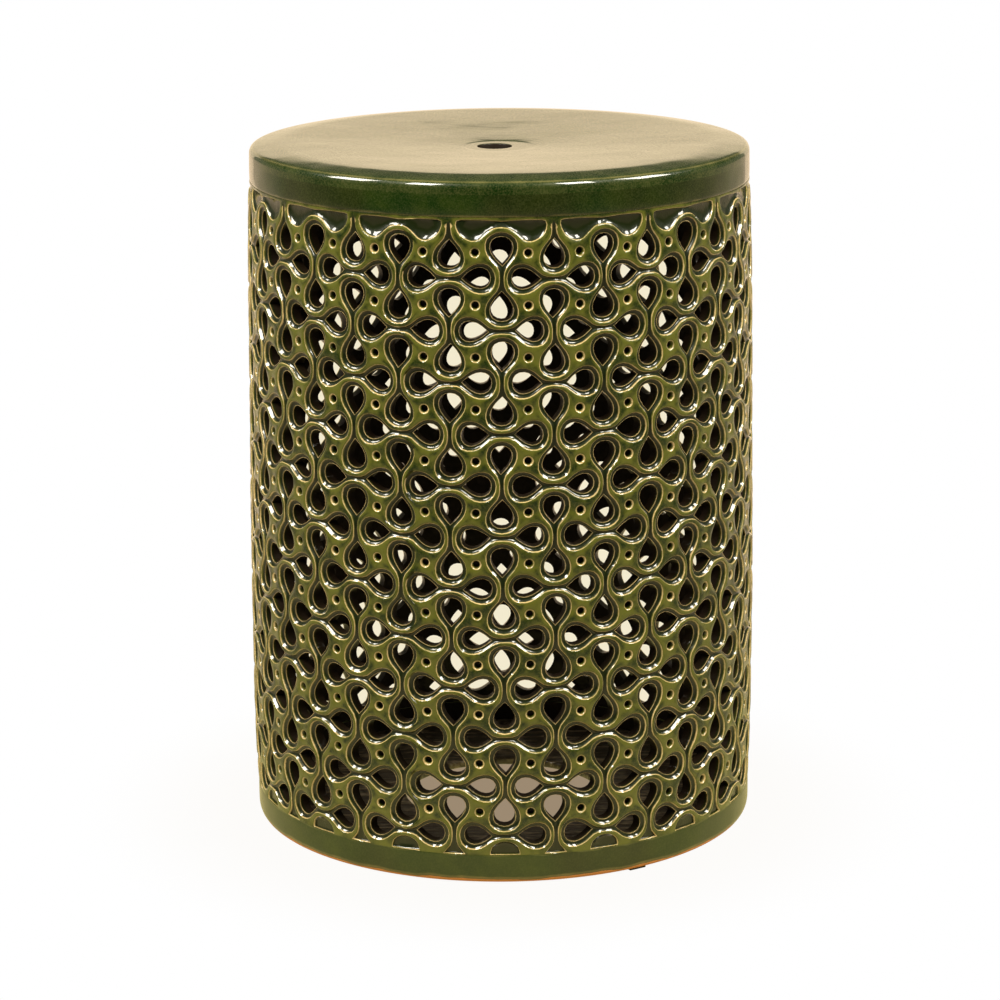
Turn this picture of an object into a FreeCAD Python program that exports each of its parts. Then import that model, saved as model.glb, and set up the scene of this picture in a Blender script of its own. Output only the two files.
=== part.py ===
import FreeCAD, Part
import math
import os

# Pierced ceramic garden stool, in millimetres.
# The origin is on the floor under the middle of the stool, +Z is up and -Y is the front.
# Angles are measured from the front, turning towards +X.

# Driving dimensions: heights, from the floor up
pad_thickness = 1.5
foot_band_height = 18.7
upper_band_height = 16.9
seat_edge_height = 10.0

# Driving dimensions: radii and wall thicknesses
seat_radius = 162.0
foot_radius = 165.7
ridge_rise = 1.2
wall_thickness = 9.0
band_thickness = 9.0
foot_ring_width = 12.0

# Seat: the dish with its flat middle, the crest and the gently falling shoulder round it, the edge
# rolled over to the band, the plug that registers in the upper band and the finger hole
dish_depth = 4.7
dish_middle_radius = 23.0
crest_radius = 141.0
shoulder_fall = 0.6
edge_roll = 4.0
edge_bevels = 3
plug_depth = 4.0
plug_clearance = 0.4
finger_hole_radius = 11.15
finger_hole_offset = -3.0

# Foot: the base plate inside the ring with the round hole in its middle, the bevel of the bare clay
# edge, and the pads under the ring
base_thickness = 5.0
base_hole_radius = 66.0
foot_bevel = 2.5
pad_count = 3
pad_length = 12.0
pad_width = 8.0
pad_setback = 0.8
first_pad_angle = 32.0

# Lattice: a chequerboard of nodes with a pierced drop on every line between two neighbours.
# A drop has its point at one end and its broad end at the other, and the gaps are from a node to each.
columns = 32
rows = 12
row_pitch = 32.44
lower_margin = 12.9
upper_margin = 2.2
broad_gap = 6.5
point_gap = 8.5
drop_width = 12.2
first_node_angle = -22.24
cut_overrun = 3.0

# Heights that follow
foot_z = pad_thickness
wall_z = foot_z + foot_band_height
wall_height = lower_margin + rows * row_pitch + upper_margin
band_z = wall_z + wall_height
seat_z = band_z + upper_band_height
rim_z = seat_z + seat_edge_height

# Sizes of the lattice that follow
column_angle = 360.0 / columns
half_columns = columns // 2
wall_foot_radius = foot_radius + ridge_rise
wall_top_radius = seat_radius + ridge_rise
wall_radius = (wall_foot_radius + wall_top_radius) / 2

# The staves fold, and the halves join, in the plain strip between a column's upright drops and the
# broad ends of the drops beside it
fold_offset = (drop_width / 2 + broad_gap) / 2
fold_angle = first_node_angle + math.degrees(fold_offset / wall_radius)


def at(radius, angle, z):
    """The point at a radius, an angle from the front and a height."""
    a = math.radians(angle)
    return FreeCAD.Vector(radius * math.sin(a), -radius * math.cos(a), z)


def revolve(edges):
    """A solid turned from the edges of a closed half section in the XZ plane."""
    section = Part.Face(Part.Wire(edges))
    return section.revolve(FreeCAD.Vector(0, 0, 0), FreeCAD.Vector(0, 0, 1), 360)


def section_lines(corners):
    """Straight edges through corners given as radius and height, in order."""
    points = [FreeCAD.Vector(r, 0, z) for r, z in corners]
    return [Part.makeLine(a, b) for a, b in zip(points, points[1:])]


def seat_slab():
    """The dished seat with its shoulder and rolled edge, the plug under it and the finger hole."""
    plug_radius = seat_radius - band_thickness - plug_clearance
    dish_z = rim_z - dish_depth
    corners = [(0, dish_z), (dish_middle_radius, dish_z), (crest_radius, rim_z)]
    for step in range(edge_bevels + 1):
        turn = math.radians(90 - 90.0 * step / edge_bevels)
        r = seat_radius - edge_roll * (1 - math.cos(turn))
        z = rim_z - shoulder_fall - edge_roll * (1 - math.sin(turn))
        corners.append((r, z))
    corners += [
        (seat_radius, seat_z),
        (plug_radius, seat_z),
        (plug_radius, seat_z - plug_depth),
        (0, seat_z - plug_depth),
        (0, dish_z),
    ]
    hole_foot = FreeCAD.Vector(finger_hole_offset, 0, seat_z - 2 * plug_depth)
    hole_height = seat_edge_height + 3 * plug_depth
    hole = Part.makeCylinder(finger_hole_radius, hole_height, hole_foot)
    return revolve(section_lines(corners)).cut(hole)


def upper_band():
    """The plain collar between the lattice and the seat."""
    inner = seat_radius - band_thickness
    return revolve(section_lines([
        (inner, band_z),
        (seat_radius, band_z),
        (seat_radius, seat_z),
        (inner, seat_z),
        (inner, band_z),
    ]))


def foot_band():
    """The plain ring that the lattice stands on, bevelled where the clay is bare."""
    inner = foot_radius - foot_ring_width
    return revolve(section_lines([
        (inner, foot_z),
        (foot_radius - foot_bevel, foot_z),
        (foot_radius, foot_z + foot_bevel),
        (foot_radius, wall_z),
        (inner, wall_z),
        (inner, foot_z),
    ]))


def base_plate():
    """The flat base inside the foot ring, with the round hole in its middle."""
    outer = foot_radius - foot_ring_width
    return revolve(section_lines([
        (base_hole_radius, foot_z),
        (outer, foot_z),
        (outer, foot_z + base_thickness),
        (base_hole_radius, foot_z + base_thickness),
        (base_hole_radius, foot_z),
    ]))


def corner_radius(flat_radius):
    """The radius to the corners of a wall whose staves are flat_radius from the axis."""
    return flat_radius / math.cos(math.radians(column_angle / 2))


def solid_of(faces):
    """A solid from the flat faces that bound it."""
    shell = Part.makeShell(faces)
    shell.sewShape()
    return Part.makeSolid(shell)


def flat_face(corners):
    """A flat face through its corners, in order."""
    return Part.Face(Part.makePolygon(corners + corners[:1]))


def plain_half_wall():
    """Half of the drum before it is pierced, with one flat stave for each column."""
    outer_foot = corner_radius(wall_foot_radius)
    outer_top = corner_radius(wall_top_radius)
    inner_foot = corner_radius(wall_foot_radius - wall_thickness)
    inner_top = corner_radius(wall_top_radius - wall_thickness)
    rings = []
    for i in range(half_columns + 1):
        angle = fold_angle + i * column_angle
        rings.append([
            at(outer_foot, angle, wall_z),
            at(outer_top, angle, band_z),
            at(inner_top, angle, band_z),
            at(inner_foot, angle, wall_z),
        ])
    faces = [flat_face(rings[0]), flat_face(rings[-1])]
    for here, there in zip(rings, rings[1:]):
        for a, b in ((0, 1), (1, 2), (2, 3), (3, 0)):
            faces.append(flat_face([here[a], here[b], there[b], there[a]]))
    return solid_of(faces)


def drop_cutter(angle, z, point_turn):
    """A pointed drop cut square through the wall, so that it narrows towards the axis.

    point_turn is where its point looks, in degrees anticlockwise from +X as seen from outside.
    The middle of the line between its two nodes is at the given angle and height.
    """
    half_pitch = row_pitch / 2
    tip = half_pitch - point_gap
    broad = broad_gap - half_pitch
    turn = math.radians(point_turn)
    outer = corner_radius(max(wall_foot_radius, wall_top_radius)) + cut_overrun
    inner = min(wall_foot_radius, wall_top_radius) - wall_thickness - cut_overrun
    ends = []
    for reach in (outer, inner):
        scale = reach / wall_radius
        corners = []
        for along, across in ((tip, 0), (broad, drop_width / 2), (broad, -drop_width / 2)):
            right = along * math.cos(turn) - across * math.sin(turn)
            up = along * math.sin(turn) + across * math.cos(turn)
            corners.append(FreeCAD.Vector(right * scale, -reach, z + up * scale))
        ends.append(corners)
    near, far = ends
    faces = [flat_face(near), flat_face(far)]
    for a, b in ((0, 1), (1, 2), (2, 0)):
        faces.append(flat_face([near[a], near[b], far[b], far[a]]))
    cutter = solid_of(faces)
    cutter.rotate(FreeCAD.Vector(0, 0, 0), FreeCAD.Vector(0, 0, 1), angle)
    return cutter


def drop_cutters():
    """A cutter for every drop of half the drum.

    Columns are counted from the joint and rows of nodes from the top. At an even node the drops
    beside it point in and those above and below turn their broad ends to it, and at an odd one the
    other way round. The joint lies just past the first column, so the half takes the next ones.
    """
    cutters = []
    top_node_z = band_z - upper_margin
    for column in range(1, half_columns + 1):
        angle = first_node_angle + column * column_angle
        for row in range(rows):
            even = (column + row) % 2 == 0
            z = top_node_z - (row + 0.5) * row_pitch
            cutters.append(drop_cutter(angle, z, 270 if even else 90))
    for column in range(half_columns):
        angle = first_node_angle + (column + 0.5) * column_angle
        for row in range(1, rows + 1):
            even = (column + row) % 2 == 0
            z = top_node_z - row * row_pitch
            cutters.append(drop_cutter(angle, z, 180 if even else 0))
    return cutters


def lattice_half():
    """Half of the pierced drum, from the joint in its front left round to the one opposite."""
    return plain_half_wall().cut(Part.makeCompound(drop_cutters()))


def foot_pad(index):
    """A small pad stuck under the foot ring, a little inside the bevel."""
    outer = foot_radius - foot_bevel - pad_setback
    corner = FreeCAD.Vector(-pad_length / 2, -outer, 0)
    pad = Part.makeBox(pad_length, pad_width, pad_thickness, corner)
    angle = first_pad_angle + index * 360.0 / pad_count
    pad.rotate(FreeCAD.Vector(0, 0, 0), FreeCAD.Vector(0, 0, 1), angle)
    return pad


def pieces():
    """Every piece of the stool, by the name of its node."""
    right_half = lattice_half()
    left_half = right_half.copy()
    left_half.rotate(FreeCAD.Vector(0, 0, 0), FreeCAD.Vector(0, 0, 1), 180)
    made = {
        "seat_slab": seat_slab(),
        "upper_band": upper_band(),
        "lattice_wall_right": right_half,
        "lattice_wall_left": left_half,
        "foot_band": foot_band(),
        "base_plate": base_plate(),
    }
    for index in range(pad_count):
        made["foot_pad_%d" % (index + 1)] = foot_pad(index)
    return made


os.makedirs("parts", exist_ok=True)
for name, shape in pieces().items():
    solids = shape.Solids
    body = solids[0] if len(solids) == 1 else Part.makeCompound(solids)
    body.exportStep("parts/%s.step" % name)
    print(name, len(solids), "solid", round(shape.Volume / 1000.0, 1), "cm3")
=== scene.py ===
"""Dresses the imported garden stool: the pierced relief, the glazed seat and bands, the foot and the studio."""

import math
import random

import bpy
import numpy as np
from mathutils import Matrix, Vector
from mathutils.geometry import delaunay_2d_cdt


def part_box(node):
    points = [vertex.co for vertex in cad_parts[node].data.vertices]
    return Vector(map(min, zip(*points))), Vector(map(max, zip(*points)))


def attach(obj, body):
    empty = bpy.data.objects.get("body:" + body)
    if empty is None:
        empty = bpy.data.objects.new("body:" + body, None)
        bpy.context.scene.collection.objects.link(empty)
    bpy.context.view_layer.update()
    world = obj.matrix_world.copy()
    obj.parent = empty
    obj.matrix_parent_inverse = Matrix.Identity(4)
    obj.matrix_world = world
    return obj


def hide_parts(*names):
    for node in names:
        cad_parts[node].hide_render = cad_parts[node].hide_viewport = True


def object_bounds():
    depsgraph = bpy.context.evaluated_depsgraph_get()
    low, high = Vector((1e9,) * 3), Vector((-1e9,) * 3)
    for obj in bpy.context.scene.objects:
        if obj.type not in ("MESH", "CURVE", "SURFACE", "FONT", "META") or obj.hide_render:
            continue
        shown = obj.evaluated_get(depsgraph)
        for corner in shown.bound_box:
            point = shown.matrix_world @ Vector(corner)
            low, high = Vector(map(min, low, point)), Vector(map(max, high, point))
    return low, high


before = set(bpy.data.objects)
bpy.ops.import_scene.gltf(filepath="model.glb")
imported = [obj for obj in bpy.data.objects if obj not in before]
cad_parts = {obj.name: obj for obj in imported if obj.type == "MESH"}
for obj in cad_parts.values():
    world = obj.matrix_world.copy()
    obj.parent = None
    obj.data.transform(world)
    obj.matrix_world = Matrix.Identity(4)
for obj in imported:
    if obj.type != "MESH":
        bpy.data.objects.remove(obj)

bl_info = {
    "name": "Pierced Garden Stool",
    "version": (1, 0, 0),
    "blender": (4, 5, 0),
    "location": "View3D > Sidebar > Stool",
    "description": "Models the glazed, pierced drum stool around its packed frame",
    "category": "Add Mesh",
}

cad_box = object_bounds()
MM = 0.001
seat_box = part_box("seat_slab")
upper_band_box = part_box("upper_band")
foot_band_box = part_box("foot_band")
base_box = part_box("base_plate")
drum_top = upper_band_box[0][2]
drum_foot = foot_band_box[1][2]
band_radius = upper_band_box[1][0]
foot_radius = foot_band_box[1][0]


def distance(name, description, default):
    """A length property in metres."""
    return bpy.props.FloatProperty(
        name=name, description=description, default=default, min=0.0,
        precision=5, subtype="DISTANCE", unit="LENGTH")


def colour(name, description, default):
    """A linear colour property."""
    return bpy.props.FloatVectorProperty(
        name=name, description=description, default=default, min=0.0, max=1.0,
        size=3, subtype="COLOR")


def ratio(name, description, default):
    """A plain number property between nothing and a few times."""
    return bpy.props.FloatProperty(
        name=name, description=description, default=default, min=0.0, max=10.0)


class StoolReliefSettings(bpy.types.PropertyGroup):
    """Sizes of the pierced relief wall."""

    columns: bpy.props.IntProperty(
        name="Columns", description="Columns of drops round the drum", default=32, min=4)
    rows: bpy.props.IntProperty(
        name="Rows", description="Rows of small holes up the drum", default=12, min=1)
    row_pitch: distance("Row pitch", "Height from one row of nodes to the next", 32.44 * MM)
    top_node_drop: distance("Top node drop", "From the drum's top down to the first nodes", 2.2 * MM)
    seam_angle: bpy.props.FloatProperty(
        name="Seam angle", description="Where the halves were luted, from the front",
        default=math.radians(-22.24), subtype="ANGLE", unit="ROTATION")
    round_gap: distance("Round gap", "From a node to a drop's round end", 6.3 * MM)
    point_gap: distance("Point gap", "From a node to a drop's point", 7.9 * MM)
    drop_width: distance("Drop width", "Width of a pierced drop", 13.2 * MM)
    ledge_width: distance("Ledge width", "Sunk ledge round a drop", 3.0 * MM)
    ledge_depth: distance("Ledge depth", "Depth of the sunk ledge", 2.2 * MM)
    neck_width: distance("Neck width", "Groove that joins two points", 2.9 * MM)
    small_hole_radius: distance("Small hole radius", "Blind holes between the drops", 2.25 * MM)
    wall_thickness: distance("Wall thickness", "Clay wall of the drum", 9.0 * MM)
    hand_variation: distance("Hand variation", "How far a drop was cut off its place", 0.45 * MM)
    seed: bpy.props.IntProperty(name="Seed", description="Seed of the hand-cut variation", default=7)


class StoolSeatSettings(bpy.types.PropertyGroup):
    """Sizes of the seat, the bands, the foot and the pads."""

    crest_radius: distance("Crest radius", "Radius of the seat's highest ring", 141.0 * MM)
    dish_depth: distance("Dish depth", "How far the seat's middle lies below its crest", 4.6 * MM)
    middle_radius: distance("Middle radius", "Flat turned ring round the finger hole", 23.0 * MM)
    finger_hole_radius: distance("Finger hole radius", "Hole for lifting the stool", 11.0 * MM)
    finger_hole_offset: distance("Finger hole offset", "How far left of the axis it sits", 3.0 * MM)
    base_hole_radius: distance("Base hole radius", "Round hole in the base", 66.0 * MM)
    first_pad_angle: bpy.props.FloatProperty(
        name="First pad angle", description="Where the first pad sits, from the front",
        default=math.radians(32.0), subtype="ANGLE", unit="ROTATION")
    pad_reach: distance("Pad reach", "From the axis to a pad's middle", 158.4 * MM)
    pad_length: distance("Pad length", "Along the foot ring", 12.0 * MM)
    pad_width: distance("Pad width", "Across the foot ring", 8.0 * MM)
    clay_edge: distance("Clay edge", "Height of the bare clay left by wiping the foot", 1.9 * MM)
    ring_segments: bpy.props.IntProperty(
        name="Ring segments", description="Sides of the turned pieces", default=256, min=32)


class StoolGlazeSettings(bpy.types.PropertyGroup):
    """Colours of the glaze and the clay."""

    deep_green: colour("Deep green", "Thick glaze on the bands", (0.004, 0.021, 0.001))
    thin_olive: colour("Thin olive", "Glaze stretched over the ridges", (0.110, 0.118, 0.014))
    pool_green: colour("Pool green", "Glaze run together in the ledges", (0.008, 0.014, 0.0015))
    break_tan: colour("Break tan", "Glaze broken over an edge", (0.74, 0.52, 0.22))
    # Near black: a thin dark wash, darkened further as painted shade in the holes, the pits and the drum's
    # inside
    inside_shade_brown: colour("Inside shade brown", "Thin dark wash inside the drum", (0.014, 0.008, 0.0035))
    clay_orange: colour("Clay orange", "Bare fired clay at the foot", (0.80, 0.36, 0.13))
    pad_black: colour("Pad black", "Rubber of the foot pads", (0.022, 0.018, 0.015))


class StoolStageSettings(bpy.types.PropertyGroup):
    """The camera and the studio."""

    camera_distance: distance("Camera distance", "From the stool's axis", 2.2)
    camera_height: distance("Camera height", "Above the floor", 0.7775)
    lens: bpy.props.FloatProperty(name="Lens", description="Focal length", default=122.83, unit="CAMERA")
    key_power: ratio("Key power", "Strength of the front softboxes", 1.0)
    ambient: ratio("Ambient", "Strength of the studio's even light", 1.0)
    card: ratio("Card", "Strength of the lit paper behind the stool", 1.0)
    floor_glow: colour("Floor glow", "Warm tone of the floor behind the stool", (0.896, 0.823, 0.617))


# Relief: flat plans of one drop and of the drum's ends, laid side by side and wrapped round the drum

# A finish is how deep a point lies in millimetres, how sharp its edge is and how much glaze is pooled there
BARE = (0.0, 0.0, 0.0)
ARRIS = (0.28, 1.0, 0.0)
END_ARRIS = (0.30, 1.0, 0.0)
NECK_MIDDLE = (1.45, 0.0, 1.0)
NECK_SIDE = (1.25, 0.0, 1.0)
CROWN = (-0.16, 0.0, 0.0)
SMALL_HOLE_RINGS = [(-0.05, 0.0, 0.0), (0.30, 0.95, 0.0), (1.15, 0.55, 0.4)]
# A small hole's rings, out from its edge in millimetres
SMALL_HOLE_OFFSETS = (1.65, 0.75, 0.0)
# Millimetres from the line or the point that each is named for
GROOVE_HALF = 0.8
LEDGE_WALL = 0.68
RIDGE_WIDTH = 0.5
RIM_WIDTH = 0.55
RIM_DROP = 0.12
TIP_LEAD = 0.85
FOOT_LEDGE = 0.35
FOOT_WALL = 0.6
BORDER_BULGE = 1.7
THIN_REACH = 1.5
TOP_RISE = 5.2
WALL_CLEARANCE = 0.02
# A drop's hole narrows to this share inside, and a small hole ends in a shallow cone
HOLE_TAPER = 0.94
PIT_FOOT, PIT_MIDDLE, PIT_TAPER = 5.2, 5.6, 0.25
# How finely curves are followed and quarter rings are divided
CURVE_STEPS = 24
RING_POINTS = 5
# How near two points count as one: in a plan by decimals, in the layout on a grid shifted off the points
PLAN_DIGITS = 3
WELD_GRID = 0.004
WELD_SHIFT = 0.00037
# Hand-cut differences: the lean either way in degrees, and shares of the length and the width
HAND_LEAN = 3.5
HAND_LENGTHS = (0.97, 1.04)
HAND_WIDTHS = (0.95, 1.05)
UPRIGHT_WIDTH, LEVEL_WIDTH = 1.06, 0.98
# Heights over which the wall calms down towards the foot band and the collar
CALM_FOOT, CALM_HEAD = 12.0, 6.0
MEAN_RADIUS = 165.0
# Points that lie deeper than this belong to a hole's wall or to the back
SURFACE_DEPTH = 3.5
# Along the joint: how much shallower the smeared relief is, and how far that reaches in millimetres
SMEAR_SHARE, SMEAR_REACH = 0.4, 2.6
# A small place right of the joint at the top is filled but for a share: where it starts above the nodes' row
# and off the joint, and where it ends
FILLED_FROM, FILLED_START, FILLED_END, FILLED_SHARE = -2.0, 3.0, 10.5, 0.25


class ReliefPlan:
    """A flat plan of relief in millimetres: finished points and the lines between them."""

    def __init__(self):
        self.places = {}
        self.points = []
        self.lines = []

    def point(self, x, y, finish=BARE, hold=0.0):
        """Adds a point once, with its depth, edge and pool, and gives its number."""
        key = (round(x, PLAN_DIGITS), round(y, PLAN_DIGITS))
        if key not in self.places:
            self.places[key] = len(self.points)
            self.points.append((x, y) + tuple(finish) + (hold,))
        return self.places[key]

    def line(self, run, finish=BARE, hold=0.0):
        """Adds a run of points; the finish and the hold may be one for all or one for each."""
        finishes = finish if isinstance(finish, list) else [finish] * len(run)
        holds = hold if isinstance(hold, list) else [hold] * len(run)
        numbers = [self.point(x, y, f, w) for (x, y), f, w in zip(run, finishes, holds)]
        self.lines += [pair for pair in zip(numbers, numbers[1:]) if pair[0] != pair[1]]
        return numbers

    def numbers(self, run):
        """The numbers of points that are already in the plan."""
        return [self.places[(round(x, PLAN_DIGITS), round(y, PLAN_DIGITS))] for x, y in run]

    def faces(self, border):
        """Triangles that fill the border."""
        flat = [Vector((p[0], p[1])) for p in self.points]
        places, _, triangles, origins, _, _ = delaunay_2d_cdt(flat, self.lines, [], 0, 1e-6, True)
        for place, old in zip(places, origins):
            if not old:
                raise RuntimeError("two lines of the relief plan cross near %.2f, %.2f" % tuple(place))
        kept = []
        for triangle in triangles:
            a, b, c = (places[v] for v in triangle)
            if inside((a + b + c) / 3, border) and abs((b - a).cross(c - a)) > 1e-5:
                kept.append(tuple(origins[v][0] for v in triangle))
        return kept


def inside(place, outline):
    """Whether a place lies in a closed outline."""
    x, y = place[0], place[1]
    found = False
    for (ax, ay), (bx, by) in zip(outline, outline[1:] + outline[:1]):
        if (ay > y) != (by > y) and x < (bx - ax) * (y - ay) / (by - ay) + ax:
            found = not found
    return found


def smooth_run(corners, count):
    """A smooth run of count steps through the corners, evenly spaced."""
    given = np.array(corners, float)
    padded = np.vstack([2 * given[0] - given[1], given, 2 * given[-1] - given[-2]])
    dense = []
    for a, b, c, d in zip(padded, padded[1:], padded[2:], padded[3:]):
        for t in np.linspace(0, 1, CURVE_STEPS, endpoint=False):
            dense.append(0.5 * (2 * b + (c - a) * t + (2 * a - 5 * b + 4 * c - d) * t * t
                                + (3 * b - a - 3 * c + d) * t ** 3))
    dense.append(given[-1])
    dense = np.array(dense)
    along = np.concatenate([[0], np.cumsum(np.linalg.norm(np.diff(dense, axis=0), axis=1))])
    wanted = np.linspace(0, along[-1], count + 1)
    return [tuple(float(np.interp(w, along, dense[:, axis])) for axis in (0, 1)) for w in wanted]


def set_off(run, gap, first, last):
    """A run set off to its left by a gap, with its ends given."""
    given = np.array(run)
    way = np.gradient(given, axis=0)
    way /= np.linalg.norm(way, axis=1)[:, None]
    moved = given + gap * np.stack([-way[:, 1], way[:, 0]], axis=1)
    return [first] + [tuple(map(float, p)) for p in moved[1:-1]] + [last]


def cut_at(run, height):
    """The first part of a run, up to where it passes a height."""
    kept = [run[0]]
    for (ax, ay), (bx, by) in zip(run, run[1:]):
        if by >= height:
            share = (height - ay) / (by - ay)
            kept.append((ax + share * (bx - ax), height))
            return kept
        kept.append((bx, by))
    return kept


class DropShape:
    """The outlines of one drop in millimetres: its upper half, round end left and point right."""

    def __init__(self, relief):
        half = relief.row_pitch / MM / 2
        wide = relief.drop_width / MM / 2
        ledge = relief.ledge_width / MM
        neck = relief.neck_width / MM / 2
        small = relief.small_hole_radius / MM
        start = relief.round_gap / MM - half
        tip = half - relief.point_gap / MM
        long = tip - start
        self.half, self.start, self.tip = half, start, tip
        self.deep = relief.ledge_depth / MM
        self.thickness = relief.wall_thickness / MM
        self.groove = (GROOVE_HALF, neck, neck + RIDGE_WIDTH)
        self.diagonal = half * math.sqrt(2)
        self.rings = tuple(small + offset for offset in SMALL_HOLE_OFFSETS)
        self.hole = smooth_run([
            (start, 0), (start + 0.03 * long, 0.45 * wide), (start + 0.125 * long, 0.80 * wide),
            (start + 0.285 * long, wide), (start + 0.46 * long, 0.985 * wide),
            (start + 0.63 * long, 0.80 * wide), (start + 0.80 * long, 0.50 * wide), (tip, 0)], 9)
        self.arris = smooth_run([
            (start - ledge, 0), (start - 0.72 * ledge, 0.62 * wide), (start + 0.5, wide + 0.42 * ledge),
            (start + 0.25 * long, wide + 0.95 * ledge), (start + 0.50 * long, wide + 0.85 * ledge),
            (start + 0.72 * long, 0.66 * wide + 0.98 * ledge),
            (start + 0.90 * long, 0.30 * wide + 0.90 * ledge),
            (tip + 0.8, 0.88 * ledge), (tip + 3.0, neck + 0.42), (tip + 5.0, neck + 0.08),
            (half - neck, neck)], 11)
        self.near = set_off(self.hole, RIM_WIDTH, (start - RIM_WIDTH, 0.0), (tip + TIP_LEAD, 0.0))
        self.pool = set_off(
            self.arris, -LEDGE_WALL, (start - ledge + LEDGE_WALL, 0.0), (half - GROOVE_HALF, GROOVE_HALF))
        self.ridge = set_off(
            self.arris, RIDGE_WIDTH, (start - ledge - RIDGE_WIDTH, 0.0),
            (half - neck - RIDGE_WIDTH, neck + RIDGE_WIDTH))
        centre = (start + tip) / 2
        self.inner_hole = [(centre + HOLE_TAPER * (x - centre), HOLE_TAPER * y) for x, y in self.hole]
        self.gaps = [0.0] + [math.sqrt(2) * g for g in self.groove]
        self.gaps += [float(g) for g in np.linspace(self.gaps[-1], self.diagonal - self.rings[0], 5)[1:]]
        self.gaps += [self.diagonal - r for r in self.rings[1:]]

    def border(self, round_side):
        """The border with the next drop, from the node to the small hole's edge."""
        r = math.sqrt(0.5)
        first, last = self.gaps[3], self.diagonal - self.rings[0]
        run = []
        for gap in self.gaps:
            share = min(1.0, max(0.0, (gap - first) / (last - first)))
            bulge = BORDER_BULGE * math.sin(math.pi * share) ** 1.4
            if round_side:
                run.append((-self.half + r * (gap - bulge), r * (gap + bulge)))
            else:
                run.append((self.half - r * (gap + bulge), r * (gap - bulge)))
        return run

    def node_finishes(self, grooved=True):
        """Depth, edge and pool at a node and on the lines of the neck through it, from the middle out."""
        if grooved:
            return [NECK_MIDDLE, NECK_SIDE, ARRIS, BARE]
        return [NECK_SIDE, END_ARRIS, BARE, BARE]

    def border_finishes(self, grooved=True):
        """Finish of each point of a border."""
        ends = self.node_finishes(grooved), SMALL_HOLE_RINGS
        return ends[0] + [CROWN] * (len(self.gaps) - len(ends[0]) - len(ends[1])) + ends[1]

    def ring(self, radius, first, last, middle):
        """A quarter of a ring round a small hole, between two angles in degrees."""
        turns = np.radians(np.linspace(first, last, RING_POINTS))
        return [(middle[0] + radius * math.cos(t), middle[1] + radius * math.sin(t)) for t in turns]

    def holds(self, run, hold):
        """How freely each point of a run moves with its drop: not at all where its neck meets a node."""
        return [hold * min(1.0, max(0.0, (self.half - 2.0 - x) / 6.0)) for x, _ in run]

    def pool_finishes(self, run):
        """Finish along the foot of the ledge's wall, which rises towards the neck."""
        end = run[-1][0]
        shares = [min(1.0, max(0.0, (x - self.tip) / (end - self.tip))) for x, _ in run]
        return [(self.deep - 0.25 + (1.25 - self.deep + 0.25) * s, 0.0, 1.0) for s in shares]


def thinness(points):
    """How thin the glaze is stretched at each point: most beside an edge, least far from one."""
    spots = np.array(points, float)
    edges = spots[(spots[:, 3] > 0.9) & (spots[:, 2] < 0.5)][:, :2]
    apart = np.sqrt(((spots[:, None, :2] - edges[None]) ** 2).sum(axis=2)).min(axis=1)
    return np.exp(-apart / THIN_REACH)


class Tile:
    """A laid-out piece of relief: its points, its faces, and the sides that close a cut edge."""

    def __init__(self, points, faces, sides):
        self.points = np.column_stack([np.array(points, float), thinness(points)])
        self.faces = faces
        self.sides = sides


def draw_drop(plan, shape):
    """Draws the upper half of a drop: hole, ledge, arris, ridge and the neck to its pointed node."""
    plan.line(shape.hole, (shape.deep, 1.0, 0.55), 1.0)
    rim = (shape.deep + RIM_DROP, 0.0, 0.9)
    plan.line(shape.near, rim, 1.0)
    plan.line(shape.pool, shape.pool_finishes(shape.pool), shape.holds(shape.pool, 0.75))
    plan.line(shape.arris, ARRIS, shape.holds(shape.arris, 0.65))
    plan.line(shape.ridge, BARE, shape.holds(shape.ridge, 0.5))
    lead = shape.tip + TIP_LEAD
    plan.line([(lead, 0.0), ((lead + shape.half) / 2, 0.0), (shape.half, 0.0)],
              [rim, (shape.deep - 0.3, 0.0, 1.0), NECK_MIDDLE], [1.0, 0.3, 0.0])


def draw_round_node(plan, shape, grooved=True):
    """Draws the lines that cross the node at a drop's round end."""
    finishes = shape.node_finishes(grooved)
    plan.point(-shape.half, 0.0, finishes[0])
    for gap, finish in zip(shape.groove, finishes[1:]):
        plan.line([(-shape.half + gap, 0.0), (-shape.half + gap, gap)], finish)


def close_plan(shape, plan, border, pits, inner_border, through, sides):
    """Fills a plan and gives it its small-hole pits, its drop's cut wall and its inner face."""
    faces = plan.faces(border)
    points = list(plan.points)
    for middle, first, last in pits:
        rim = plan.numbers(shape.ring(shape.rings[2], first, last, middle))
        foot = len(points)
        for x, y in shape.ring(shape.rings[2] - PIT_TAPER, first, last, middle):
            points.append((x, y, PIT_FOOT, 0.0, 1.0, 0.0))
        points.append((middle[0], middle[1], PIT_MIDDLE, 0.0, 1.0, 0.0))
        for i in range(len(rim) - 1):
            faces.append((rim[i], rim[i + 1], foot + i + 1, foot + i))
            faces.append((foot + i, foot + i + 1, len(points) - 1))
    back = ReliefPlan()
    back.line(inner_border + inner_border[:1], (shape.thickness, 0.0, 1.0),
              [1.0 if place in shape.inner_hole else 0.0 for place in inner_border + inner_border[:1]])
    inner = len(points)
    points += back.points
    faces += [tuple(inner + v for v in face[::-1]) for face in back.faces(inner_border)]
    if through:
        rim = plan.numbers(shape.hole)
        far = [inner + v for v in back.numbers(shape.inner_hole)]
        for i in range(len(rim) - 1):
            faces.append((rim[i + 1], rim[i], far[i], far[i + 1]))
    loops = {}
    for name, (outer_run, pit, inner_run) in sides.items():
        loop = plan.numbers(outer_run)
        if pit is not None:
            loop += [pit, len(plan.points) + RING_POINTS]
        loops[name] = loop + [inner + v for v in back.numbers(inner_run)]
    return Tile(points, faces, loops)


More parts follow.
